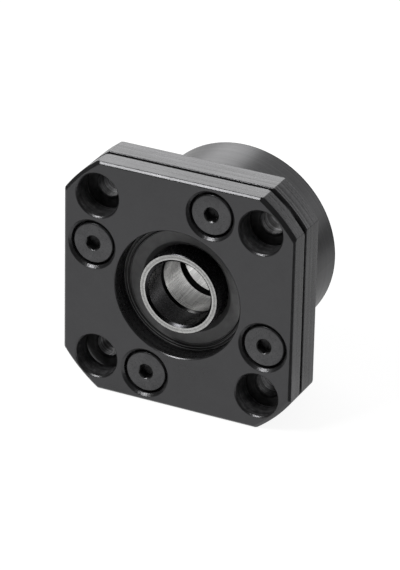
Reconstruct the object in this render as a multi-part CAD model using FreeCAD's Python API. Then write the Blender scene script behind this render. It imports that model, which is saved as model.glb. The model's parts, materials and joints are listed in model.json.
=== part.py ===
import FreeCAD, Part
import math
import os

# Ball screw end support, fixed side: a square flanged housing whose pilot goes into the machine's frame,
# a screwed-on lid, and a pair of angular contact ball bearings that carry the end of the screw spindle.
# Millimetres. The spindle's axis is Y. The origin is on that axis in the flange's rear mounting face:
# the lid faces -Y, the pilot points to +Y, and +Z is up.

# Spindle seat and collars
spindle_diameter = 12.0
collar_wall = 1.5
collar_bore_bevel = 0.45
collar_edge_bevel = 0.15
front_collar_inset = 0.6
rear_collar_stand_out = 2.5

# Flange of housing and lid. The lid bears on the bearings, so it stays off the housing by a gap.
flange_across_flats = 44.0
lid_plate_thickness = 4.2
lid_gap = 0.5
housing_flange_thickness = 5.1
edge_bevel = 0.4
gap_edge_bevel = 0.1
corner_edge_bevel = 0.6
corner_gap_bevel = 0.1
lid_corner_rear_bevel = 0.75

# Pilot, spigot and bore
pilot_diameter = 36.0
pilot_end_bevel = 0.5
spigot_length = 1.9
spigot_clearance = 0.05
bore_lead_bevel = 0.4

# Angular contact bearings
bearing_outer_diameter = 28.0
bearing_width = 8.0
bearing_seat_clearance = 0.01
ring_corner = 0.9
ball_diameter = 4.762
ball_web = 1.4
contact_angle = 30.0
groove_conformity = 0.52
ball_race_gap = 0.04
shoulder_height = 0.9
relief_height = 0.25

# Ball cages
cage_land_gap = 0.58
cage_side_gap = 0.7
cage_pocket_gap = 0.08

# Lip seals
seal_diameter = 24.0
seal_width = 2.5
seal_seat_gap = 0.02
seal_bearing_gap = 0.1
seal_lip_gap = 0.05
seal_rim_bevel = 0.5
seal_rim_width = 1.1
seal_face_slope = 0.15
seal_face_inset = 0.3
seal_web = 1.2
seal_case_wall = 0.8
seal_lip_depth = 1.0
seal_lip_flat = 0.2
seal_lip_back = 0.8
seal_lip_height = 0.95
rear_seal_recess = 2.1
pocket_rim_bevel = 0.2

# Mounting holes in the corners
mounting_circle_diameter = 44.0
mounting_hole_diameter = 4.5
mounting_hole_bevel = 0.4
mounting_counterbore_diameter = 8.0
mounting_corner_wall = 1.0
mounting_rim_bevel = 0.3

# Low head cap screws that hold the lid
lid_screw_circle_diameter = 35.2
lid_screw_first_angle = 70.0
lid_screw_thread_diameter = 4.0
lid_screw_length = 6.0
lid_screw_head_diameter = 7.6
lid_screw_head_height = 2.8
lid_screw_head_bevel = 0.25
lid_screw_inset = 0.5
lid_screw_end_bevel = 0.4
lid_screw_hole_clearance = 0.25
lid_screw_head_clearance = 0.4
lid_counterbore_bevel = 0.5
thread_clearance = 0.05
thread_run_out = 0.3
hex_across_flats = 2.5
hex_depth = 1.6
hex_turns = (30.0, 0.0, -10.0, -3.0)

# Places along the axis
housing_front = -housing_flange_thickness
lid_back = housing_front - lid_gap
front_face = lid_back - lid_plate_thickness
bearing_front = lid_back + spigot_length
bearing_middle = bearing_front + bearing_width
bearing_rear = bearing_middle + bearing_width
front_seal_face = bearing_front - seal_bearing_gap - seal_width
rear_seal_face = bearing_rear + seal_bearing_gap + seal_width
pilot_end = rear_seal_face + rear_seal_recess
screw_head_top = front_face + lid_screw_inset
screw_seat = screw_head_top + lid_screw_head_height
screw_tip = screw_seat + lid_screw_length

# Radii about the axis
spindle_radius = spindle_diameter / 2
collar_radius = spindle_radius + collar_wall
bearing_radius = bearing_outer_diameter / 2
pilot_radius = pilot_diameter / 2
pocket_radius = seal_diameter / 2
corner_radius = (mounting_circle_diameter + mounting_counterbore_diameter) / 2 + mounting_corner_wall

# Balls: midway between spindle and housing bore, as many as leave the cage's web between them
ball_radius = ball_diameter / 2
ball_circle_radius = (bearing_radius + spindle_radius) / 2
ball_count = int(2 * math.pi * ball_circle_radius / (ball_diameter + ball_web))

# Ball grooves: each groove's centre lies off the ball's centre, towards the other race
groove_radius = groove_conformity * ball_diameter
groove_offset = groove_radius - ball_radius - ball_race_gap
groove_lift = groove_offset * math.cos(math.radians(contact_angle))
groove_shift = groove_offset * math.sin(math.radians(contact_angle))
outer_groove_bottom = ball_circle_radius - groove_lift + groove_radius
inner_groove_bottom = ball_circle_radius + groove_lift - groove_radius

AXIS = FreeCAD.Vector(0, 1, 0)
CENTRE = FreeCAD.Vector(0, 0, 0)
FRONT = -1
REAR = 1


def at(radius, place):
    """A point of a turned outline: its radius, and its place along the axis."""
    return FreeCAD.Vector(radius, place, 0)


def turned(outline):
    """Solid turned about the axis from a closed outline of points. An arc is a pair (middle, end)."""
    edges = []
    last = outline[-1][1] if isinstance(outline[-1], tuple) else outline[-1]
    for run in outline:
        if isinstance(run, tuple):
            middle, end = run
            edges.append(Part.Arc(last, middle, end).toShape())
        else:
            end = run
            edges.append(Part.makeLine(last, end))
        last = end
    return Part.Face(Part.Wire(edges)).revolve(CENTRE, AXIS, 360)


def cylinder(radius, start, end, x=0.0, z=0.0):
    return Part.makeCylinder(radius, end - start, FreeCAD.Vector(x, start, z), AXIS)


def cone(start_radius, end_radius, start, end, x=0.0, z=0.0):
    return Part.makeCone(start_radius, end_radius, end - start, FreeCAD.Vector(x, start, z), AXIS)


def on_circle(radius, count, first_angle=0.0):
    """Even places (x, z) on a circle about the axis. Angles run from +X towards +Z."""
    turns = [math.radians(first_angle + 360 / count * i) for i in range(count)]
    return [(radius * math.cos(turn), radius * math.sin(turn)) for turn in turns]


def mounting_places():
    return on_circle(mounting_circle_diameter / 2, 4, 45)


def lid_screw_places():
    return on_circle(lid_screw_circle_diameter / 2, len(hex_turns), lid_screw_first_angle)


def bevelled_square(start, end, front_bevel, rear_bevel):
    """Square block along the axis, with the edges of its front and rear faces bevelled."""
    across = flange_across_flats
    block = Part.makeBox(across, end - start, across, FreeCAD.Vector(-across / 2, start, -across / 2))
    for face, bevel in ((start, front_bevel), (end, rear_bevel)):
        face_edges = [edge for edge in block.Edges if abs(edge.CenterOfMass.y - face) < bevel]
        block = block.makeChamfer(bevel, face_edges)
    return block


def flange_plate(start, end, flat_bevels, corner_bevels):
    """Turned disc with four flats, so that its corners stay round. The flats and the corners have bevels of
    their own, given as pairs for the front and the rear face."""
    front_bevel, rear_bevel = corner_bevels
    disc = turned([
        at(0, start),
        at(corner_radius - front_bevel, start),
        at(corner_radius, start + front_bevel),
        at(corner_radius, end - rear_bevel),
        at(corner_radius - rear_bevel, end),
        at(0, end),
    ])
    return disc.common(bevelled_square(start, end, *flat_bevels))


def make_housing():
    """Flange and pilot in one piece, bored from the lid's side up to the rear bearing's shoulder."""
    pilot = turned([
        at(0, housing_front),
        at(pilot_radius, housing_front),
        at(pilot_radius, pilot_end - pilot_end_bevel),
        at(pilot_radius - pilot_end_bevel, pilot_end),
        at(0, pilot_end),
    ])
    flat_bevels = (gap_edge_bevel, edge_bevel)
    corner_bevels = (corner_gap_bevel, corner_edge_bevel)
    body = flange_plate(housing_front, 0, flat_bevels, corner_bevels).fuse(pilot)
    bore_radius = bearing_radius + bearing_seat_clearance
    bore = turned([
        at(0, housing_front),
        at(bore_radius + bore_lead_bevel, housing_front),
        at(bore_radius, housing_front + bore_lead_bevel),
        at(bore_radius, bearing_rear),
        at(pocket_radius, bearing_rear),
        at(pocket_radius, pilot_end - pocket_rim_bevel),
        at(pocket_radius + pocket_rim_bevel, pilot_end),
        at(0, pilot_end),
    ])
    tapped_radius = lid_screw_thread_diameter / 2 + thread_clearance
    tapped_end = screw_tip + thread_run_out
    cuts = [bore]
    cuts += [cylinder(tapped_radius, housing_front, tapped_end, x, z) for x, z in lid_screw_places()]
    for x, z in mounting_places():
        cuts.append(bevelled_hole(mounting_hole_diameter / 2, mounting_hole_bevel, housing_front, 0, x, z))
    return body.cut(cuts).removeSplitter()


def bevelled_hole(radius, bevel, start, end, x=0.0, z=0.0):
    """Hole from one place to another along the axis, with a bevelled rim at its start."""
    hole = cylinder(radius, start, end, x, z)
    return hole.fuse(cone(radius + bevel, radius, start, start + bevel, x, z))


def make_lid():
    """Plate with the seal's pocket and a spigot that clamps the bearings' outer rings."""
    spigot_radius = bearing_radius + bearing_seat_clearance - spigot_clearance
    corner_bevels = (corner_edge_bevel, lid_corner_rear_bevel)
    plate = flange_plate(front_face, lid_back, (edge_bevel, edge_bevel), corner_bevels)
    spigot = cylinder(spigot_radius, front_face + edge_bevel, bearing_front)
    cuts = [bevelled_hole(pocket_radius, pocket_rim_bevel, front_face, bearing_front)]
    head_radius = mounting_counterbore_diameter / 2
    for x, z in mounting_places():
        cuts.append(bevelled_hole(head_radius, mounting_rim_bevel, front_face, lid_back, x, z))
    head_space = lid_screw_head_diameter / 2 + lid_screw_head_clearance
    shank_space = lid_screw_thread_diameter / 2 + lid_screw_hole_clearance
    for x, z in lid_screw_places():
        cuts.append(bevelled_hole(head_space, lid_counterbore_bevel, front_face, screw_seat, x, z))
        cuts.append(cylinder(shank_space, screw_seat, lid_back, x, z))
    return plate.fuse(spigot).cut(cuts).removeSplitter()


def hex_socket(turn):
    """Hexagon recess in the head. At no turn, two of its corners point along X."""
    corner = hex_across_flats / math.sqrt(3)
    angles = [math.radians(turn + 60 * i) for i in range(7)]
    outline = [FreeCAD.Vector(corner * math.cos(a), screw_head_top, corner * math.sin(a)) for a in angles]
    return Part.Face(Part.makePolygon(outline)).extrude(FreeCAD.Vector(0, hex_depth, 0))


def make_lid_screws():
    """Low head cap screws, each turned as far as it happened to be tightened."""
    head_radius = lid_screw_head_diameter / 2
    thread_radius = lid_screw_thread_diameter / 2
    blank = turned([
        at(0, screw_head_top),
        at(head_radius - lid_screw_head_bevel, screw_head_top),
        at(head_radius, screw_head_top + lid_screw_head_bevel),
        at(head_radius, screw_seat),
        at(thread_radius, screw_seat),
        at(thread_radius, screw_tip - lid_screw_end_bevel),
        at(thread_radius - lid_screw_end_bevel, screw_tip),
        at(0, screw_tip),
    ])
    screws = []
    for turn, (x, z) in zip(hex_turns, lid_screw_places()):
        screw = blank.cut(hex_socket(turn))
        screw.translate(FreeCAD.Vector(x, 0, z))
        screws.append(screw)
    return Part.Compound(screws)


def groove_reach(height):
    """How far from the groove's middle its arc meets a land of that height above the bottom."""
    return math.sqrt(groove_radius ** 2 - (groove_radius - height) ** 2)


def make_outer_ring(start, back):
    """Outer ring with its high shoulder towards back, FRONT or REAR, and the other shoulder relieved."""
    end = start + bearing_width
    middle = (start + end) / 2 - back * groove_shift
    bottom = outer_groove_bottom
    front_height = shoulder_height if back == FRONT else relief_height
    rear_height = shoulder_height if back == REAR else relief_height
    rear_land = bottom - rear_height
    return turned([
        at(bottom - front_height, start),
        at(bottom - front_height, middle - groove_reach(front_height)),
        (at(bottom, middle), at(rear_land, middle + groove_reach(rear_height))),
        at(rear_land, end),
        at(bearing_radius - ring_corner, end),
        at(bearing_radius, end - ring_corner),
        at(bearing_radius, start + ring_corner),
        at(bearing_radius - ring_corner, start),
    ])


def make_inner_ring(start, back):
    """Inner ring of the same bearing: its high shoulder lies on the side away from the outer ring's."""
    end = start + bearing_width
    middle = (start + end) / 2 + back * groove_shift
    bottom = inner_groove_bottom
    front_height = relief_height if back == FRONT else shoulder_height
    rear_height = relief_height if back == REAR else shoulder_height
    front_land = bottom + front_height
    return turned([
        at(spindle_radius + ring_corner, start),
        at(spindle_radius, start + ring_corner),
        at(spindle_radius, end - ring_corner),
        at(spindle_radius + ring_corner, end),
        at(bottom + rear_height, end),
        at(bottom + rear_height, middle + groove_reach(rear_height)),
        (at(bottom, middle), at(front_land, middle - groove_reach(front_height))),
        at(front_land, start),
    ])


def ball_places():
    return on_circle(ball_circle_radius, ball_count)


def make_balls(start):
    middle = start + bearing_width / 2
    centres = [FreeCAD.Vector(x, middle, z) for x, z in ball_places()]
    return Part.Compound([Part.makeSphere(ball_radius, centre) for centre in centres])


def make_cage(start):
    """Moulded ring with a round window for each ball."""
    outer = outer_groove_bottom - shoulder_height - cage_land_gap
    inner = inner_groove_bottom + shoulder_height + cage_land_gap
    low = start + cage_side_gap
    high = start + bearing_width - cage_side_gap
    ring = cylinder(outer, low, high).cut(cylinder(inner, low, high))
    foot = FreeCAD.Vector(0, start + bearing_width / 2, 0)
    window_radius = ball_radius + cage_pocket_gap
    outwards = [FreeCAD.Vector(x, 0, z) for x, z in ball_places()]
    return ring.cut([Part.makeCylinder(window_radius, bearing_radius, foot, way) for way in outwards])


def make_seal(face, inwards):
    """Rubber covered lip seal with its air side at face. inwards, REAR or FRONT, is towards the bearings."""
    outer = pocket_radius - seal_seat_gap
    land = collar_radius + seal_lip_gap
    lip_root = land + seal_lip_height
    rim = outer - seal_rim_width
    lip = seal_face_inset + seal_lip_depth
    back = lip + seal_lip_flat + seal_lip_back
    web = seal_face_inset + seal_web

    def deep(radius, depth):
        return at(radius, face + inwards * depth)

    return turned([
        deep(outer - seal_rim_bevel, 0),
        deep(rim, 0),
        deep(rim - seal_face_slope, seal_face_inset),
        deep(lip_root, seal_face_inset),
        deep(land, lip),
        deep(land, lip + seal_lip_flat),
        deep(land + seal_lip_back, back),
        deep(lip_root + seal_web / 2, back),
        deep(lip_root + seal_web / 2, web),
        deep(outer - seal_case_wall, web),
        deep(outer - seal_case_wall, seal_width),
        deep(outer, seal_width),
        deep(outer, seal_rim_bevel),
    ])


def make_collar(start, end, bevelled_end):
    """Spacer collar on the spindle. The bore's mouth is bevelled at its free end."""
    front_bevel = collar_bore_bevel if bevelled_end == FRONT else collar_edge_bevel
    rear_bevel = collar_bore_bevel if bevelled_end == REAR else collar_edge_bevel
    return turned([
        at(spindle_radius + front_bevel, start),
        at(spindle_radius, start + front_bevel),
        at(spindle_radius, end - rear_bevel),
        at(spindle_radius + rear_bevel, end),
        at(collar_radius - collar_edge_bevel, end),
        at(collar_radius, end - collar_edge_bevel),
        at(collar_radius, start + collar_edge_bevel),
        at(collar_radius - collar_edge_bevel, start),
    ])


def make_parts():
    """Every piece by name. The bearings stand face to face, so their backs point away from each other."""
    return {
        "housing": make_housing(),
        "lid": make_lid(),
        "lid_screws": make_lid_screws(),
        "front_seal": make_seal(front_seal_face, REAR),
        "rear_seal": make_seal(rear_seal_face, FRONT),
        "front_outer_ring": make_outer_ring(bearing_front, FRONT),
        "rear_outer_ring": make_outer_ring(bearing_middle, REAR),
        "front_inner_ring": make_inner_ring(bearing_front, FRONT),
        "rear_inner_ring": make_inner_ring(bearing_middle, REAR),
        "front_cage": make_cage(bearing_front),
        "rear_cage": make_cage(bearing_middle),
        "front_balls": make_balls(bearing_front),
        "rear_balls": make_balls(bearing_middle),
        "front_collar": make_collar(front_face + front_collar_inset, bearing_front, FRONT),
        "rear_collar": make_collar(bearing_rear, pilot_end + rear_collar_stand_out, REAR),
    }


os.makedirs("parts", exist_ok=True)
for name, shape in make_parts().items():
    shape.exportStep("parts/" + name + ".step")
    print(name, len(shape.Solids), shape.isValid(), round(shape.Volume, 2))
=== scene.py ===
import json
import math

import bmesh
import bpy
from mathutils import Matrix, Vector


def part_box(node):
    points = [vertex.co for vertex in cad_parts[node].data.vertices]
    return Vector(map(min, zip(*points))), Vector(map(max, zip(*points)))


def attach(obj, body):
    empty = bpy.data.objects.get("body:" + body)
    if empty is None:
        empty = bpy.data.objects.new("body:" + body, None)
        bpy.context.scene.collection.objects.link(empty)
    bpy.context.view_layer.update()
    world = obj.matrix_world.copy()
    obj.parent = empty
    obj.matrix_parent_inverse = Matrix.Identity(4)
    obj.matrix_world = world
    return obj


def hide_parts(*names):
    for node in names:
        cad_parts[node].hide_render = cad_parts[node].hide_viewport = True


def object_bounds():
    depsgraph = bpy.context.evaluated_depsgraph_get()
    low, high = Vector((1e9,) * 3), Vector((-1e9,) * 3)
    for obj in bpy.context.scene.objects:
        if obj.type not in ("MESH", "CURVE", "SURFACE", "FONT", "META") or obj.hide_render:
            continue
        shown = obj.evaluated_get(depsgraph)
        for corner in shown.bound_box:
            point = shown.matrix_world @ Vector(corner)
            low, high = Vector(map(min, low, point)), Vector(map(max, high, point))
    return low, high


# Looks of a ball screw end support: black oxide flange and pilot, lid screws, lip seals and the bright
# bearing rings in the bore. Sizes of the part are written in millimetres and made metres with MM. Those
# of the studio round it are in metres.
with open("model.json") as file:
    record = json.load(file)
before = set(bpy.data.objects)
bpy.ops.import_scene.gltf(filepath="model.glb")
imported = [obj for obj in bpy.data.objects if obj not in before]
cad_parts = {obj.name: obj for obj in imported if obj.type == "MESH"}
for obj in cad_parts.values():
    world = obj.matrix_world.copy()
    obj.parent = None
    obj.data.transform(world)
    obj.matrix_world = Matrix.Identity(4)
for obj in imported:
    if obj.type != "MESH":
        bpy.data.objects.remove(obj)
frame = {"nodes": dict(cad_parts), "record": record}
cad_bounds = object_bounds()
nodes = frame["nodes"]
mounts = {mount["name"]: mount["dims"] for mount in frame["record"]["mounts"]}

MM = 0.001
FULL_TURN = 2 * math.pi

# Camera: fitted to the flange's corners, the seam and the pilot
camera_azimuth = math.radians(25.661)
camera_elevation = math.radians(26.763)
camera_roll = math.radians(1.199)
camera_distance = 669.9 * MM
camera_aim = Vector((0, -5, 0)) * MM
camera_aim_right = 1.899 * MM
camera_aim_up = -0.024 * MM
camera_lens = 244.53
camera_sensor_width = 36

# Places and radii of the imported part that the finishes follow
lid_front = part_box("lid")[0].y / MM
flange_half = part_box("lid")[1].x / MM
housing_front, pilot_end = (corner.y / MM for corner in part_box("housing"))
screw_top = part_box("lid_screws")[0].y / MM
rear_collar_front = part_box("rear_collar")[0].y / MM
seal_fronts = (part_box("front_seal")[0].y / MM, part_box("rear_seal")[1].y / MM)
seal_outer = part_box("front_seal")[1].x / MM
corner_radius = 54.0 / 2
hole_circle = mounts["flange_bolts"]["pcd_mm"] / 2
hole_first_angle = math.radians(45)
drill_radius = mounts["flange_bolts"]["hole_r_mm"]
counterbore_radius = 8.0 / 2
counterbore_rim = 0.4
spindle_radius = mounts["spindle_bore"]["r_mm"]
collar_middle = 6.9
ring_corner = 0.92
ring_corner_inner = spindle_radius + ring_corner
ring_corner_outer = 28.0 / 2 - ring_corner

# Lid screws
screw_circle = 35.2 / 2
screw_first_angle = math.radians(70)
screw_head_radius = 7.6 / 2
screw_recess_rim = 1.1
screw_head_height = 2.8
screw_head_round = 0.3
screw_head_rear_round = 0.12
screw_neck_radius = 0.2
screw_core_radius = 1.56
screw_crest_radius = 1.98
screw_pitch = 0.7
screw_length = 6.0
screw_point = 0.45
socket_across_flats = 2.5
socket_depth = 1.6
socket_drill_depth = 0.35
socket_drill_share = 0.82
socket_lead = 0.03
socket_shade_radius = 1.7
socket_turns = (30.0, 0.0, -10.0, -3.0)
screw_steps = 96

# Screw thread: half widths are shares of the pitch, and its root is sunk in the core
thread_root_half = 0.44
thread_crest_half = 0.07
thread_root_sink = 0.04
thread_steps = 32

# Lip seals, as depths behind the air side and radii inside the outer edge
seal_bead_width = 0.2
seal_bead_pitch = 0.5
seal_groove_depth = 0.3
seal_rim_width = 1.15
seal_face_slope = 0.15
seal_face_inset = 0.3
seal_web = 1.2
seal_case_wall = 0.8
seal_lip_depth = 1.0
seal_lip_flat = 0.2
seal_lip_back = 0.8
seal_lip_height = 0.95
seal_bore_radius = 7.55
seal_edge_round = 0.06
seal_steps = 192

# Mesh work
smooth_angle = math.radians(32)
weld_distance = 0.0005
ring_tolerance = 0.002

# Colours of the finishes, some of them painted highlights and shade
oxide_black = (0.0605, 0.0605, 0.0625)
oxide_rubbed = (0.15, 0.15, 0.15)
screw_black = (0.07, 0.07, 0.072)
screw_rubbed = (0.16, 0.16, 0.16)
black_reflection = (0.75, 0.75, 0.75, 1)
collar_black = (0.036, 0.036, 0.038)
collar_rubbed = (0.5, 0.5, 0.5)
collar_ground = (0.36, 0.36, 0.355)
collar_reamed = (0.19, 0.19, 0.188)
ring_ground = (0.57, 0.567, 0.56)
# Painted highlight on the bearing rings' edges
ring_edge_highlight = (0.86, 0.86, 0.85)
ring_corner_black = (0.03, 0.03, 0.03)
ball_lapped = (0.76, 0.76, 0.755)
cage_dark = (0.70, 0.65, 0.53)
cage_pale = (0.79, 0.75, 0.63)
rubber_black = (0.072, 0.072, 0.073)
rubber_bloom = (0.108, 0.108, 0.109)
# Painted shade in the seal's grooves
rubber_groove_shade = (0.012, 0.012, 0.012)
# Painted highlight on the seal's bead tips
rubber_tip_highlight = (0.3, 0.3, 0.3)

# How far either side of 0.5 a noise is stretched to the wanted span. A smaller reach gives more contrast.
SOFT = 0.2
CLEAR = 0.15
SHARP = 0.08


def new_node(tree, kind, inputs=None, **settings):
    """A shader node with its settings. inputs gives each socket a value or the output that feeds it."""
    made = tree.nodes.new(kind)
    for name, value in settings.items():
        setattr(made, name, value)
    for socket, value in (inputs or {}).items():
        if isinstance(value, bpy.types.NodeSocket):
            tree.links.new(value, made.inputs[socket])
        else:
            made.inputs[socket].default_value = value
    return made


def maths(tree, operation, first, second=0.0):
    return new_node(tree, "ShaderNodeMath", {0: first, 1: second}, operation=operation).outputs[0]


def plus(tree, first, second):
    return maths(tree, "ADD", first, second)


def minus(tree, first, second):
    return maths(tree, "SUBTRACT", first, second)


def times(tree, product, *factors):
    for factor in factors:
        product = maths(tree, "MULTIPLY", product, factor)
    return product


def size_of(tree, value):
    """Value without its sign."""
    return maths(tree, "ABSOLUTE", value)


def length_of(tree, first, second):
    """Length of a flat vector from its two parts."""
    squares = plus(tree, times(tree, first, first), times(tree, second, second))
    return maths(tree, "SQRT", squares)


def axes_of(tree, vector):
    """Outputs with a vector's X, Y and Z."""
    return new_node(tree, "ShaderNodeSeparateXYZ", {0: vector}).outputs


def scaled(tree, vector, factor):
    """Place or colour times a factor."""
    return new_node(tree, "ShaderNodeVectorMath", {0: vector, 3: factor}, operation="SCALE").outputs[0]


def between(tree, value, low, high, to_low=0.0, to_high=1.0):
    """Value mapped from one span to another and kept inside it."""
    inputs = {"Value": value, "From Min": low, "From Max": high, "To Min": to_low, "To Max": to_high}
    return new_node(tree, "ShaderNodeMapRange", inputs).outputs["Result"]


def varied(tree, noise, low, high, reach=SOFT):
    """Noise stretched to the span from low to high."""
    return between(tree, noise, 0.5 - reach, 0.5 + reach, low, high)


def inside(tree, length, edge, blur):
    """1 where a length is short of the edge by the blur, and 0 past the edge. Both are in millimetres."""
    return between(tree, length, edge * MM, (edge - blur) * MM)


def beyond(tree, length, edge, blur):
    """1 where a length is past the edge by the blur, and 0 short of the edge. Both are in millimetres."""
    return between(tree, length, edge * MM, (edge + blur) * MM)


def swing(tree, share, none, full):
    """Value that goes from none to full with share."""
    return plus(tree, none, times(tree, share, minus(tree, full, none)))


def mixed(tree, share, first, second):
    """Colour that goes from first to second with share."""
    mix = new_node(tree, "ShaderNodeMix", {"Factor": share}, data_type="RGBA")
    colours = [socket for socket in mix.inputs if socket.type == "RGBA"]
    for socket, colour in zip(colours, (first, second)):
        if isinstance(colour, bpy.types.NodeSocket):
            tree.links.new(colour, socket)
        else:
            socket.default_value = (*colour, 1.0)
    return next(socket for socket in mix.outputs if socket.type == "RGBA")


def bumped(tree, normal, height, depth):
    """Normal with relief added to it: height from 0 to 1 stands for a depth in millimetres."""
    inputs = {"Height": height, "Distance": depth * MM, "Strength": 1.0, "Normal": normal}
    return new_node(tree, "ShaderNodeBump", inputs).outputs["Normal"]


NUMBER = "NodeSocketFloat"
VECTOR = "NodeSocketVector"


def new_group(name, inputs, outputs):
    """Empty node group. inputs and outputs give each socket's name and kind, and a number's first value."""
    tree = bpy.data.node_groups.new(name, "ShaderNodeTree")
    for socket, kind, value in inputs:
        made = tree.interface.new_socket(socket, in_out="INPUT", socket_type=kind)
        if value is not None:
            made.default_value = value
    for socket, kind in outputs:
        tree.interface.new_socket(socket, in_out="OUTPUT", socket_type=kind)
    start = tree.nodes.new("NodeGroupInput")
    end = tree.nodes.new("NodeGroupOutput")
    return tree, start.outputs, end.inputs


def noise_at(tree, place, size, detail, roughness):
    """Noise from 0 to 1, mostly near 0.5, with features of a size in millimetres at a place in them."""
    scale = maths(tree, "DIVIDE", 1.0, size)
    inputs = {"Vector": place, "Scale": scale, "Detail": detail, "Roughness": roughness}
    return new_node(tree, "ShaderNodeTexNoise", inputs).outputs["Fac"]


def make_fine_grain():
    """Even grain of a ground or blasted surface, with slow mottling."""
    inputs = [("Place", VECTOR, None), ("Grain Size", NUMBER, 0.25), ("Mottle Size", NUMBER, 4.0)]
    tree, start, end = new_group("fine_grain", inputs, [("Grain", NUMBER), ("Mottle", NUMBER)])
    millimetres = scaled(tree, start["Place"], 1 / MM)
    for size, output, detail in (("Grain Size", "Grain", 3.0), ("Mottle Size", "Mottle", 4.0)):
        tree.links.new(noise_at(tree, millimetres, start[size], detail, 0.6), end[output])
    return tree


def make_turning_marks():
    """Marks that a lathe leaves round the Y axis: lines along the circumference on every turned surface.
    Radial is 0 where the lines are to run straight across flat sides too."""
    inputs = [
        ("Place", VECTOR, None),
        ("Feed", NUMBER, 0.2),
        ("Band Width", NUMBER, 2.0),
        ("Radial", NUMBER, 1.0),
    ]
    tree, start, end = new_group("turning_marks", inputs, [("Lines", NUMBER), ("Bands", NUMBER)])
    axes = axes_of(tree, scaled(tree, start["Place"], 1 / MM))
    radius = times(tree, length_of(tree, axes[0], axes[2]), start["Radial"])
    drift = times(tree, plus(tree, axes[0], axes[2]), 0.02)
    across = new_node(tree, "ShaderNodeCombineXYZ", {0: radius, 1: axes[1], 2: drift}).outputs[0]
    for size, output, detail in (("Feed", "Lines", 2.0), ("Band Width", "Bands", 3.0)):
        tree.links.new(noise_at(tree, across, start[size], detail, 0.55), end[output])
    return tree


def make_edge_wear_and_highlight():
    """Rounded normal and a mask along outer edges, for wear on most finishes and for painted highlights on
    the bearing rings and seal beads. Round is in metres.
    """
    inputs = [("Round", NUMBER, 0.15 * MM)]
    tree, start, end = new_group("edge_wear_and_highlight", inputs, [("Wear And Highlight", NUMBER), ("Normal", VECTOR)])
    rounded = new_node(tree, "ShaderNodeBevel", {"Radius": start["Round"]}, samples=8).outputs["Normal"]
    flat = tree.nodes.new("ShaderNodeNewGeometry").outputs["Normal"]
    turned = new_node(tree, "ShaderNodeVectorMath", {0: rounded, 1: flat}, operation="DOT_PRODUCT")
    tree.links.new(between(tree, turned.outputs["Value"], 0.995, 0.85), end["Wear And Highlight"])
    tree.links.new(rounded, end["Normal"])
    return tree


FINE_GRAIN = make_fine_grain()
TURNING_MARKS = make_turning_marks()
EDGE_WEAR_AND_HIGHLIGHT = make_edge_wear_and_highlight()


def placed_group(tree, group, **inputs):
    """Outputs of a node group. Its inputs are given by their names, with _ for a space."""
    sockets = {name.replace("_", " "): value for name, value in inputs.items()}
    return new_node(tree, "ShaderNodeGroup", sockets, node_tree=group).outputs


def grain_on(tree, place, size, mottle_size):
    return placed_group(tree, FINE_GRAIN, Place=place, Grain_Size=size, Mottle_Size=mottle_size)


def marks_on(tree, place, feed, band_width, radial=1.0):
    return placed_group(tree, TURNING_MARKS, Place=place, Feed=feed, Band_Width=band_width, Radial=radial)


def edges_on(tree, rounding):
    return placed_group(tree, EDGE_WEAR_AND_HIGHLIGHT, Round=rounding)


def new_material(name):
    """New material, with its node tree, its Principled shader's inputs and its texture coordinates."""
    material = bpy.data.materials.new(name)
    material.use_nodes = True
    tree = material.node_tree
    shader = tree.nodes["Principled BSDF"].inputs
    place = tree.nodes.new("ShaderNodeTexCoord").outputs
    return material, tree, shader, place


def from_nearest(tree, place, circle_radius, first_angle):
    """Distance across Y to the nearest of four even places on a circle about the Y axis."""
    turn = {"Vector": place, "Angle": first_angle}
    axes = axes_of(tree, new_node(tree, "ShaderNodeVectorRotate", turn, rotation_type="Y_AXIS").outputs[0])
    sides = [size_of(tree, axis) for axis in (axes[0], axes[2])]
    far = minus(tree, maths(tree, "MAXIMUM", *sides), circle_radius * MM)
    return length_of(tree, far, maths(tree, "MINIMUM", *sides))


def off_mounting_face(tree, along):
    """1 on the lid's side of the flange's mounting face, which itself is left out."""
    return inside(tree, along, -0.02, blur=0.03)


def inside_holes(tree, from_hole, along):
    """1 inside the four mounting holes and their counterbores, behind the bevelled rim."""
    near = inside(tree, from_hole, counterbore_radius + 0.12, blur=0.08)
    behind = beyond(tree, along, lid_front + 0.25, blur=0.2)
    return times(tree, near, behind, off_mounting_face(tree, along))


def recessed(tree, from_hole, from_screw, along):
    """1 in the recesses of the mounting holes and of the lid screws, their bevelled rims included."""
    holes = inside(tree, from_hole, counterbore_radius + counterbore_rim, blur=0.05)
    screws = inside(tree, from_screw, screw_head_radius + screw_recess_rim, blur=0.05)
    behind = beyond(tree, along, lid_front + 0.03, blur=0.03)
    return times(tree, maths(tree, "MAXIMUM", holes, screws), behind, off_mounting_face(tree, along))


def outer_edges(tree, place):
    """1 at the outer edges of the flange, 0 at the rims of its holes."""
    axes = axes_of(tree, place)
    widest = maths(tree, "MAXIMUM", size_of(tree, axes[0]), size_of(tree, axes[2]))
    flats = beyond(tree, widest, flange_half - 0.8, blur=0.2)
    corners = beyond(tree, length_of(tree, axes[0], axes[2]), corner_radius - 0.9, blur=0.1)
    return maths(tree, "MAXIMUM", flats, corners)


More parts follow.
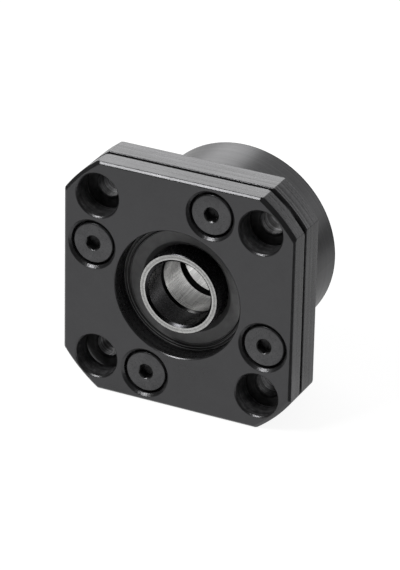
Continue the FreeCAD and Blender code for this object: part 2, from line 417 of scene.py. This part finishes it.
def make_black_oxide():
    """Machined steel with black oxide: ground flange faces, turned pilot, edges rubbed lighter, and painted
    shade deep in the counterbores and round the pilot's end.
    """
    material, tree, shader, place = new_material("black_oxide")
    grain = grain_on(tree, place["Object"], size=0.5, mottle_size=6.0)
    chatter = grain_on(tree, place["Object"], size=0.4, mottle_size=1.2)
    marks = marks_on(tree, place["Object"], feed=0.42, band_width=1.6, radial=0.0)

    # Where each finish is
    along = axes_of(tree, place["Object"])[1]
    facing = size_of(tree, axes_of(tree, place["Normal"])[1])
    sides = between(tree, facing, 0.5, 0.2)
    pilot = beyond(tree, along, 0.0, blur=0.3)
    outside = outer_edges(tree, place["Object"])
    from_hole = from_nearest(tree, place["Object"], hole_circle, hole_first_angle)
    from_screw = from_nearest(tree, place["Object"], screw_circle, screw_first_angle)
    hole = inside_holes(tree, from_hole, along)
    deep = times(tree, hole, beyond(tree, along, housing_front - 0.6, blur=0.2))
    drilled = times(tree, deep, inside(tree, from_hole, drill_radius + 0.15, blur=0.05))
    off_pilot = swing(tree, pilot, 1.0, 0.3)
    speckled = times(tree, swing(tree, sides, 0.07, 1.0), off_pilot)
    streaked = times(tree, sides, swing(tree, pilot, 1.0, 0.4))
    wear_and_highlight = edges_on(tree, swing(tree, outside, 0.11 * MM, 0.27 * MM))

    # Colour, with painted shade deep in the counterbores and round the pilot's end
    speckle = varied(tree, grain["Grain"], 0.75, 1.25, CLEAR)
    mottle = varied(tree, grain["Mottle"], 0.94, 1.06)
    streak = varied(tree, marks["Bands"], 0.92, 1.08, CLEAR)
    streak = times(tree, streak, varied(tree, marks["Lines"], 0.6, 1.4, CLEAR))
    blotch = varied(tree, chatter["Mottle"], 0.7, 1.7, CLEAR)
    rings = varied(tree, marks["Lines"], 0.2, 1.7, SHARP)
    tone = times(
        tree,
        swing(tree, speckled, 1.0, speckle),
        swing(tree, off_pilot, 1.0, mottle),
        # Painted shade: the last millimetre of the pilot, its end included, is darkened to 0.45 so that a
        # dark line runs along its outline
        swing(tree, beyond(tree, along, pilot_end - 0.9, blur=0.2), 1.0, 0.45),
        swing(tree, streaked, 1.0, streak),
        swing(tree, hole, 1.0, blotch),
        # Painted shade: the deep part of each counterbore, round the drilled hole, is darkened to 0.35
        swing(tree, minus(tree, deep, drilled), 1.0, 0.35),
        swing(tree, drilled, 1.0, rings),
    )
    rubbed = times(tree, wear_and_highlight["Wear And Highlight"], swing(tree, hole, 0.25, 0.05))
    tree.links.new(mixed(tree, rubbed, scaled(tree, oxide_black, tone), oxide_rubbed), shader["Base Color"])
    tree.links.new(swing(tree, hole, 0.75, 0.55), shader["Metallic"])
    shader["Specular Tint"].default_value = black_reflection

    # Roughness: scored sides, dull holes, burnished outer edges
    rough = swing(tree, off_pilot, 0.3, varied(tree, grain["Mottle"], 0.27, 0.33))
    rough = plus(tree, rough, times(tree, pilot, varied(tree, marks["Bands"], 0.0, 0.06)))
    rough = plus(tree, rough, times(tree, hole, 0.22))
    scored = between(tree, plus(tree, grain["Grain"], marks["Lines"]), 0.7, 1.3, -0.08, 0.08)
    rough = plus(tree, rough, times(tree, speckled, scored))
    rough = minus(tree, rough, times(tree, wear_and_highlight["Wear And Highlight"], outside, 0.14))
    tree.links.new(rough, shader["Roughness"])

    # Relief: grain, lines of the pilot, and pits in the recesses
    relief = bumped(tree, wear_and_highlight["Normal"], times(tree, grain["Grain"], speckled), depth=0.0025)
    relief = bumped(tree, relief, times(tree, marks["Lines"], pilot), depth=0.0035)
    pitted = times(tree, chatter["Grain"], recessed(tree, from_hole, from_screw, along))
    tree.links.new(bumped(tree, relief, pitted, depth=0.04), shader["Normal"])
    return material


def make_screw_black():
    """Black oxide screws: upset heads with a fine grain, and painted shade in the sockets."""
    material, tree, shader, place = new_material("screw_black")
    grain = grain_on(tree, place["Object"], size=0.2, mottle_size=2.0)
    wear_and_highlight = edges_on(tree, 0.05 * MM)
    along = axes_of(tree, place["Object"])[1]
    from_screw = from_nearest(tree, place["Object"], screw_circle, screw_first_angle)
    # Painted shade: the hexagon sockets are darkened to 0.45 of the head's tone
    near = inside(tree, from_screw, socket_shade_radius, blur=0.1)
    socket = times(tree, beyond(tree, along, screw_top + 0.1, blur=0.2), near)
    tone = times(
        tree,
        varied(tree, grain["Mottle"], 0.85, 1.15),
        swing(tree, socket, 1.0, 0.45),
        varied(tree, grain["Grain"], 0.82, 1.18, CLEAR),
    )
    rubbed = times(tree, wear_and_highlight["Wear And Highlight"], 0.25)
    tree.links.new(mixed(tree, rubbed, scaled(tree, screw_black, tone), screw_rubbed), shader["Base Color"])
    tree.links.new(varied(tree, grain["Grain"], 0.26, 0.36), shader["Roughness"])
    shader["Metallic"].default_value = 0.7
    shader["Specular Tint"].default_value = black_reflection
    tree.links.new(bumped(tree, wear_and_highlight["Normal"], grain["Grain"], depth=0.001), shader["Normal"])
    return material


def make_collar_steel():
    """Spacer collars: black oxide, with end faces ground bright and the rear one's bore reamed."""
    material, tree, shader, place = new_material("collar_steel")
    marks = marks_on(tree, place["Object"], feed=0.3, band_width=0.8)
    grain = grain_on(tree, place["Object"], size=0.3, mottle_size=2.0)
    wear_and_highlight = edges_on(tree, 0.06 * MM)
    axes = axes_of(tree, place["Object"])
    radius = length_of(tree, axes[0], axes[2])
    facing = size_of(tree, axes_of(tree, place["Normal"])[1])
    ground = between(tree, facing, 0.85, 0.95)
    tone = varied(tree, marks["Lines"], 0.76, 1.24)
    tone = times(tree, tone, varied(tree, grain["Grain"], 0.8, 1.2, CLEAR))
    black = scaled(tree, collar_black, tone)
    black = mixed(tree, times(tree, wear_and_highlight["Wear And Highlight"], 0.2), black, collar_rubbed)
    rear = beyond(tree, axes[1], rear_collar_front - 0.1, blur=0.1)
    reamed = times(tree, rear, inside(tree, radius, spindle_radius + 0.15, blur=0.05))
    black = mixed(tree, reamed, black, collar_reamed)
    # The ground end face is darker across its middle and lighter towards its inner and outer edges
    off_middle = size_of(tree, minus(tree, radius, collar_middle * MM))
    darker_middle = swing(tree, beyond(tree, off_middle, 0.06, blur=0.18), 0.68, 1.0)
    bright = scaled(tree, collar_ground, times(tree, tone, darker_middle))
    tree.links.new(mixed(tree, ground, black, bright), shader["Base Color"])
    tree.links.new(varied(tree, grain["Grain"], 0.22, 0.34), shader["Roughness"])
    shader["Metallic"].default_value = 1.0
    tree.links.new(bumped(tree, wear_and_highlight["Normal"], marks["Lines"], depth=0.0012), shader["Normal"])
    return material


def make_bearing_steel():
    """Bearing rings: ground, with honed bores and races, black corners that were never ground, and a painted
    highlight along their edges.
    """
    material, tree, shader, place = new_material("bearing_steel")
    marks = marks_on(tree, place["Object"], feed=0.1, band_width=1.2)
    grain = grain_on(tree, place["Object"], size=0.12, mottle_size=3.0)
    wear_and_highlight = edges_on(tree, 0.12 * MM)
    drawn_out = {0: place["Object"], 1: (1.0, 0.06, 1.0)}
    drawn_out = new_node(tree, "ShaderNodeVectorMath", drawn_out, operation="MULTIPLY").outputs[0]
    drawn = grain_on(tree, drawn_out, size=0.3, mottle_size=1.5)
    tone = varied(tree, marks["Bands"], 0.96, 1.04)
    tone = times(tree, tone, varied(tree, drawn["Grain"], 0.78, 1.22, CLEAR))
    # Painted highlight: the rings' edges are lightened towards a near white grey
    steel = mixed(tree, times(tree, wear_and_highlight["Wear And Highlight"], 0.6), scaled(tree, ring_ground, tone), ring_edge_highlight)
    axes = axes_of(tree, place["Object"])
    radius = length_of(tree, axes[0], axes[2])
    inner = inside(tree, radius, ring_corner_inner, blur=0.02)
    outer = beyond(tree, radius, ring_corner_outer, blur=0.02)
    facing = size_of(tree, axes_of(tree, place["Normal"])[1])
    corner = times(tree, maths(tree, "MAXIMUM", inner, outer), between(tree, facing, 0.1, 0.2))
    tree.links.new(mixed(tree, corner, steel, ring_corner_black), shader["Base Color"])
    rough = plus(tree, varied(tree, grain["Mottle"], 0.24, 0.32), varied(tree, marks["Lines"], -0.03, 0.04))
    tree.links.new(rough, shader["Roughness"])
    shader["Metallic"].default_value = 1.0
    tree.links.new(bumped(tree, wear_and_highlight["Normal"], marks["Lines"], depth=0.0008), shader["Normal"])
    return material


def make_ball_steel():
    """Lapped balls: polished, with faint oil smears."""
    material, tree, shader, place = new_material("ball_steel")
    grain = grain_on(tree, place["Object"], size=0.4, mottle_size=2.5)
    tone = varied(tree, grain["Mottle"], 0.94, 1.04)
    tree.links.new(scaled(tree, ball_lapped, tone), shader["Base Color"])
    tree.links.new(between(tree, grain["Mottle"], 0.35, 0.75, 0.04, 0.14), shader["Roughness"])
    shader["Metallic"].default_value = 1.0
    return material


def make_cage_plastic():
    """Moulded cages: glass filled polyamide, with a slightly cloudy skin."""
    material, tree, shader, place = new_material("cage_plastic")
    grain = grain_on(tree, place["Object"], size=0.18, mottle_size=1.8)
    wear_and_highlight = edges_on(tree, 0.12 * MM)
    cloud = varied(tree, grain["Mottle"], 0.0, 1.0)
    tree.links.new(mixed(tree, cloud, cage_dark, cage_pale), shader["Base Color"])
    tree.links.new(varied(tree, grain["Grain"], 0.38, 0.52), shader["Roughness"])
    tree.links.new(bumped(tree, wear_and_highlight["Normal"], grain["Grain"], depth=0.004), shader["Normal"])
    return material


def make_seal_rubber():
    """Nitrile rubber: matte black, with faint mould rings, a dusty bloom, painted shade in the grooves
    between the rim beads and painted highlights on the bead tips.
    """
    material, tree, shader, place = new_material("seal_rubber")
    wear_and_highlight = edges_on(tree, 0.05 * MM)
    grain = grain_on(tree, place["Object"], size=0.12, mottle_size=1.6)
    marks = marks_on(tree, place["Object"], feed=0.25, band_width=1.0)
    black = mixed(tree, varied(tree, grain["Mottle"], 0.0, 1.0), rubber_black, rubber_bloom)
    axes = axes_of(tree, place["Object"])
    on_rim = beyond(tree, length_of(tree, axes[0], axes[2]), seal_outer - seal_rim_width - 0.02, blur=0.05)
    behind_front = minus(tree, axes[1], seal_fronts[0] * MM)
    before_rear = minus(tree, seal_fronts[1] * MM, axes[1])
    depth = maths(tree, "MINIMUM", behind_front, before_rear)
    # Painted shade: the grooves between the rim beads are darkened almost to black
    groove = times(tree, on_rim, beyond(tree, depth, 0.08, blur=0.12))
    black = mixed(tree, groove, black, rubber_groove_shade)
    # Painted highlight: thin light lines along the edges of the bead tips
    tip = times(tree, on_rim, inside(tree, depth, 0.07, blur=0.04))
    black = mixed(tree, times(tree, tip, wear_and_highlight["Wear And Highlight"]), black, rubber_tip_highlight)
    tree.links.new(black, shader["Base Color"])
    tree.links.new(varied(tree, grain["Grain"], 0.42, 0.56), shader["Roughness"])
    relief = bumped(tree, wear_and_highlight["Normal"], grain["Grain"], depth=0.008)
    tree.links.new(bumped(tree, relief, marks["Lines"], depth=0.006), shader["Normal"])
    return material


MATERIALS = {
    "black_steel": make_black_oxide(),
    "screw_steel": make_screw_black(),
    "collar_steel": make_collar_steel(),
    "bearing_steel": make_bearing_steel(),
    "ball_steel": make_ball_steel(),
    "cage_plastic": make_cage_plastic(),
    "seal_rubber": make_seal_rubber(),
}


def finish_cad_nodes():
    """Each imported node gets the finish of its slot."""
    for part in frame["record"]["subparts"]:
        slots = nodes[part["node"]].material_slots
        slots[0].material = MATERIALS[part["material_slot"]]


def smooth_by_angle(shape, angle):
    """Smooth faces, with sharp edges kept where two faces meet at more than the angle."""
    for face in shape.faces:
        face.smooth = True
    for edge in shape.edges:
        edge.smooth = edge.calc_face_angle(0.0) < angle


def new_piece(name, shape, slot, body, *replaced):
    """Scene object from a finished shape, riding on its body in place of the CAD nodes it stands for."""
    bmesh.ops.recalc_face_normals(shape, faces=shape.faces[:])
    smooth_by_angle(shape, smooth_angle)
    mesh = bpy.data.meshes.new(name)
    shape.to_mesh(mesh)
    shape.free()
    mesh.materials.append(MATERIALS[slot])
    piece = bpy.data.objects.new(name, mesh)
    bpy.context.scene.collection.objects.link(piece)
    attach(piece, body)
    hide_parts(*replaced)


def weld(shape):
    bmesh.ops.remove_doubles(shape, verts=shape.verts[:], dist=weld_distance * MM)


def edges_in(made):
    return [item for item in made if isinstance(item, bmesh.types.BMEdge)]


def corners_of(edges):
    return {corner for edge in edges for corner in edge.verts}


def spun(shape, edges, steps):
    """Turns the edges of an outline right round the Y axis."""
    outline = [*corners_of(edges), *edges]
    turn = {"cent": (0, 0, 0), "axis": (0, 1, 0), "angle": FULL_TURN, "steps": steps}
    bmesh.ops.spin(shape, geom=outline, use_merge=True, **turn)
    weld(shape)


def radius_of(corner):
    return math.hypot(corner.co.x, corner.co.z)


def ring_edges(shape, radius, place):
    """Edges of the ring at that radius and place along Y, in millimetres."""
    def on_ring(corner):
        off_radius = abs(radius_of(corner) / MM - radius)
        off_place = abs(corner.co.y / MM - place)
        return max(off_radius, off_place) < ring_tolerance
    return [edge for edge in shape.edges if all(on_ring(corner) for corner in edge.verts)]


def round_edges(shape, edges, size, segments):
    bmesh.ops.bevel(
        shape, geom=edges, affect="EDGES", offset=size * MM, offset_type="OFFSET", segments=segments,
        profile=0.5, clamp_overlap=True, material=-1,
    )


def screw_outside(shape):
    """Head and shank from the socket's rim to the point, turned about Y with the head's top at 0."""
    rim = socket_across_flats / math.sqrt(3) + socket_lead
    tip = screw_head_height + screw_length
    outline = [
        (rim, 0),
        (screw_head_radius, 0),
        (screw_head_radius, screw_head_height),
        (screw_core_radius, screw_head_height),
        (screw_core_radius, tip - screw_point),
        (screw_core_radius - screw_point, tip),
        (0, tip),
    ]
    corners = [shape.verts.new((radius * MM, place * MM, 0)) for radius, place in outline]
    edges = [shape.edges.new(pair) for pair in zip(corners, corners[1:])]
    spun(shape, edges, screw_steps)
    round_edges(shape, ring_edges(shape, screw_head_radius, 0), screw_head_round, 5)
    round_edges(shape, ring_edges(shape, screw_head_radius, screw_head_height), screw_head_rear_round, 2)
    round_edges(shape, ring_edges(shape, screw_core_radius, screw_head_height), screw_neck_radius, 3)
    return ring_edges(shape, rim, 0)


def screw_socket(shape, rim_edges):
    """Hexagon socket: a coned lead from the rim, six flats, and the drilled bottom."""
    corner = socket_across_flats / math.sqrt(3)
    rim = corner + socket_lead
    upright = Matrix.Rotation(math.pi / 2, 4, "X")
    made = bmesh.ops.create_circle(shape, cap_ends=False, radius=corner * MM, segments=6, matrix=upright)
    sides = list({edge for vert in made["verts"] for edge in vert.link_edges})
    ring = edges_in(bmesh.ops.subdivide_edges(shape, edges=sides, cuts=screw_steps // 6 - 1)["geom"])
    for vert in corners_of(ring):
        vert.co.y = rim * MM - radius_of(vert)
    bmesh.ops.bridge_loops(shape, edges=rim_edges + ring)
    bottom = socket_depth + socket_drill_depth
    for share, depth in ((1.0, socket_depth), (socket_drill_share, socket_depth), (0.0, bottom)):
        ring = edges_in(bmesh.ops.extrude_edge_only(shape, edges=ring)["geom"])
        for vert in corners_of(ring):
            vert.co = Vector((vert.co.x * share, depth * MM, vert.co.z * share))
    weld(shape)


def screw_thread(shape):
    """The thread's ridge, wound round the core."""
    half_root = screw_pitch * thread_root_half
    half_crest = screw_pitch * thread_crest_half
    first = screw_head_height + screw_pitch + screw_neck_radius
    turns = (screw_length - 2 * screw_pitch - screw_point) / screw_pitch
    root = screw_core_radius - thread_root_sink
    section = [
        (root, -half_root),
        (screw_crest_radius, -half_crest),
        (screw_crest_radius, half_crest),
        (root, half_root),
    ]
    corners = [shape.verts.new((radius * MM, (first + place) * MM, 0)) for radius, place in section]
    face = shape.faces.new(corners)
    steps = int(turns * thread_steps)
    rise = Vector((0, screw_pitch / thread_steps, 0)) * MM
    turn = {"cent": (0, 0, 0), "axis": (0, 1, 0), "angle": FULL_TURN * steps / thread_steps, "steps": steps}
    bmesh.ops.spin(shape, geom=[*corners, *face.edges, face], dvec=rise, use_merge=False, **turn)


def make_screws():
    """Four low head cap screws in one piece, each turned as far as it was tightened."""
    together = bmesh.new()
    for index, turn in enumerate(socket_turns):
        shape = bmesh.new()
        screw_socket(shape, screw_outside(shape))
        screw_thread(shape)
        tightened = Matrix.Rotation(-math.radians(turn), 3, "Y")
        bmesh.ops.rotate(shape, verts=shape.verts[:], cent=(0, 0, 0), matrix=tightened)
        angle = screw_first_angle + FULL_TURN / len(socket_turns) * index
        place = Vector((screw_circle * math.cos(angle), screw_top, screw_circle * math.sin(angle))) * MM
        bmesh.ops.translate(shape, verts=shape.verts[:], vec=place)
        single = bpy.data.meshes.new("one_screw")
        shape.to_mesh(single)
        shape.free()
        together.from_mesh(single)
        bpy.data.meshes.remove(single)
    new_piece("lid_screw_set", together, "screw_steel", "housing", "lid_screws")


def make_seal(name, node, inwards):
    """Lip seal with rounded rubber edges. inwards is the way along Y from the air side to the bearings."""
    low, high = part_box(node)
    face = (low.y if inwards > 0 else high.y) / MM
    width = (high.y - low.y) / MM
    outer = high.x / MM
    rim = outer - seal_rim_width
    groove = outer - seal_bead_width
    second_bead = outer - seal_bead_pitch
    root = seal_bore_radius + seal_lip_height
    lip = seal_face_inset + seal_lip_depth
    back = lip + seal_lip_flat + seal_lip_back
    web = seal_face_inset + seal_web
    outline = [
        (outer, seal_bead_width / 2),
        (outer - seal_bead_width / 3, 0),
        (groove, 0),
        (groove, seal_groove_depth),
        (second_bead, seal_groove_depth),
        (second_bead, 0),
        (second_bead - seal_bead_width, 0),
        (second_bead - seal_bead_width, seal_groove_depth),
        (second_bead - seal_bead_pitch, seal_groove_depth),
        (rim, 0),
        (rim - seal_face_slope, seal_face_inset),
        (root, seal_face_inset),
        (seal_bore_radius, lip),
        (seal_bore_radius, lip + seal_lip_flat),
        (seal_bore_radius + seal_lip_back, back),
        (root + seal_web / 2, back),
        (root + seal_web / 2, web),
        (outer - seal_case_wall, web),
        (outer - seal_case_wall, width),
        (outer, width),
    ]
    shape = bmesh.new()
    corners = [shape.verts.new((radius * MM, (face + inwards * depth) * MM, 0)) for radius, depth in outline]
    for pair in zip(corners, corners[1:] + corners[:1]):
        shape.edges.new(pair)
    spun(shape, shape.edges[:], seal_steps)
    for radius, depth in outline:
        if radius != seal_bore_radius:
            round_edges(shape, ring_edges(shape, radius, face + inwards * depth), seal_edge_round, 3)
    new_piece(name, shape, "seal_rubber", "housing", node)


# Studio, in metres: floor and world
floor_size = 4.0
floor_height = cad_bounds[0][2]
floor_gap = 0.05 * MM
seen_floor_colour = 0.2
seen_floor_glow = 0.9
floor_colour = 0.8
world_strength = 0.35
mat_height = floor_height + 0.5 * MM
card_steps = 32
card_colour = (0.01, 0.01, 0.01)


def make_matte(shader, colour):
    """Shader without gloss, ready to glow white."""
    shader["Base Color"].default_value = (*colour, 1)
    shader["Roughness"].default_value = 1.0
    shader["Specular IOR Level"].default_value = 0.0
    shader["Emission Color"].default_value = (1, 1, 1, 1)


def new_stage_object(name, shape, material):
    """Object of the studio, which isn't part of the support."""
    mesh = bpy.data.meshes.new(name)
    shape.to_mesh(mesh)
    shape.free()
    mesh.materials.append(material)
    made = bpy.data.objects.new(name, mesh)
    bpy.context.scene.collection.objects.link(made)
    return made


def rays_that_see(tree):
    """1 for the camera's rays and for those that metal and glass send on, 0 for diffuse light."""
    rays = tree.nodes.new("ShaderNodeLightPath").outputs
    seen = maths(tree, "MAXIMUM", rays["Is Camera Ray"], rays["Is Glossy Ray"])
    return maths(tree, "MAXIMUM", seen, rays["Is Transmission Ray"])


def make_floor():
    """Pale floor under the flange's flat. It is white where it is seen, and it keeps the shadow."""
    material, tree, shader, _ = new_material("pale_floor")
    make_matte(shader, (floor_colour,) * 3)
    seen = rays_that_see(tree)
    colour = mixed(tree, seen, (floor_colour,) * 3, (seen_floor_colour,) * 3)
    tree.links.new(colour, shader["Base Color"])
    tree.links.new(times(tree, seen, seen_floor_glow), shader["Emission Strength"])
    shape = bmesh.new()
    bmesh.ops.create_grid(shape, x_segments=1, y_segments=1, size=floor_size / 2)
    bmesh.ops.translate(shape, verts=shape.verts[:], vec=(0, 0, floor_height - floor_gap))
    new_stage_object("floor", shape, material)


def make_world():
    """White where it is seen, and a soft even light on everything else."""
    world = bpy.data.worlds.new("studio")
    bpy.context.scene.world = world
    world.use_nodes = True
    tree = world.node_tree
    background = tree.nodes["Background"].inputs
    background["Color"].default_value = (1, 1, 1, 1)
    tree.links.new(swing(tree, rays_that_see(tree), world_strength, 1.0), background["Strength"])


def direction(azimuth, elevation):
    """Unit vector. Azimuth is in degrees from +Y, the rear, towards +X."""
    turn = math.radians(azimuth)
    lift = math.radians(elevation)
    return Vector((math.sin(turn) * math.cos(lift), math.cos(turn) * math.cos(lift), math.sin(lift)))


def make_softbox(name, azimuth, elevation, distance, size, radiance):
    """Rectangular lamp that faces the part. It shows in the metal, and not to the camera."""
    width, height = size
    light = bpy.data.lights.new(name, "AREA")
    light.shape = "RECTANGLE"
    light.size = width
    light.size_y = height
    light.energy = radiance * math.pi * width * height
    lamp = bpy.data.objects.new(name, light)
    outwards = direction(azimuth, elevation)
    lamp.location = outwards * distance
    lamp.rotation_euler = outwards.to_track_quat("Z", "Y").to_euler()
    lamp.visible_camera = False
    bpy.context.scene.collection.objects.link(lamp)


def make_card(name, glow, near, far, azimuths):
    """Black, grey or pale card that only reflections see. Its section runs from near to far, each a distance
    from the part and a height, and is swept round the part from the first azimuth to the last."""
    first_azimuth, last_azimuth = azimuths
    shape = bmesh.new()
    corners = [shape.verts.new((0, distance, height)) for distance, height in (near, far)]
    edge = shape.edges.new(corners)
    first_turn = Matrix.Rotation(-math.radians(first_azimuth), 3, "Z")
    bmesh.ops.rotate(shape, verts=corners, cent=(0, 0, 0), matrix=first_turn)
    sweep = math.radians(last_azimuth - first_azimuth)
    turn = {"cent": (0, 0, 0), "axis": (0, 0, 1), "angle": -sweep, "steps": card_steps}
    bmesh.ops.spin(shape, geom=[*corners, edge], use_merge=False, **turn)
    material, _, shader, _ = new_material(name)
    make_matte(shader, card_colour)
    shader["Emission Strength"].default_value = glow
    card = new_stage_object(name, shape, material)
    card.visible_camera = False
    card.visible_diffuse = False
    card.visible_transmission = False
    card.visible_shadow = False


def make_mat(name, glow, near, far, azimuths):
    """Card that lies just above the floor, from the near distance to the far one."""
    make_card(name, glow, (near, mat_height), (far, mat_height), azimuths)


def make_camera():
    back = direction(180 - math.degrees(camera_azimuth), math.degrees(camera_elevation))
    level = Vector((math.cos(camera_azimuth), math.sin(camera_azimuth), 0))
    above = back.cross(level)
    aim = camera_aim + camera_aim_right * level + camera_aim_up * above
    right = math.cos(camera_roll) * level + math.sin(camera_roll) * above
    up = back.cross(right)
    camera = bpy.data.objects.new("camera", bpy.data.cameras.new("camera"))
    camera.data.lens = camera_lens
    camera.data.sensor_width = camera_sensor_width
    camera.data.clip_start = 0.01
    turned = Matrix((right, up, back)).transposed().to_4x4()
    camera.matrix_world = Matrix.Translation(aim + camera_distance * back) @ turned
    bpy.context.scene.collection.objects.link(camera)
    bpy.context.scene.camera = camera


finish_cad_nodes()
make_screws()
make_seal("front_lip_seal", "front_seal", 1)
make_seal("rear_lip_seal", "rear_seal", -1)
make_floor()
make_world()
make_softbox("rear_left_light", azimuth=-40, elevation=29, distance=1.0, size=(0.8, 0.54), radiance=3.2)
make_softbox("rear_right_light", azimuth=42, elevation=8, distance=1.0, size=(0.6, 0.5), radiance=0.5)
make_softbox("key_light", azimuth=-139, elevation=53, distance=0.9, size=(0.34, 0.12), radiance=31.0)
make_card("front_card", glow=0.01, near=(1.2, floor_height), far=(1.2, 1.0), azimuths=(46, 285))
make_card("high_card", glow=0.01, near=(1.2, 1.0), far=(0.0, 1.6), azimuths=(46, 285))
make_mat("front_mat", glow=0.01, near=0.2, far=1.2, azimuths=(105, 285))
make_mat("right_mat", glow=0.1, near=0.03, far=0.2, azimuths=(100, 140))
make_mat("rear_near_mat", glow=0.8, near=0.02, far=0.1, azimuths=(12, 70))
# Painted shade: a grey mat on the floor just behind the part, seen only in reflections, stands in for the
# floor's shade there
make_mat("floor_shade_mat", glow=0.5, near=0.02, far=0.1, azimuths=(-30, 12))
make_mat("rear_far_mat", glow=0.35, near=0.1, far=0.9, azimuths=(-10, 90))
make_card("top_card", glow=0.01, near=(0.0, 0.5), far=(0.42, 0.5), azimuths=(270, 450))
make_camera()
bpy.context.scene.view_settings.view_transform = "Standard"
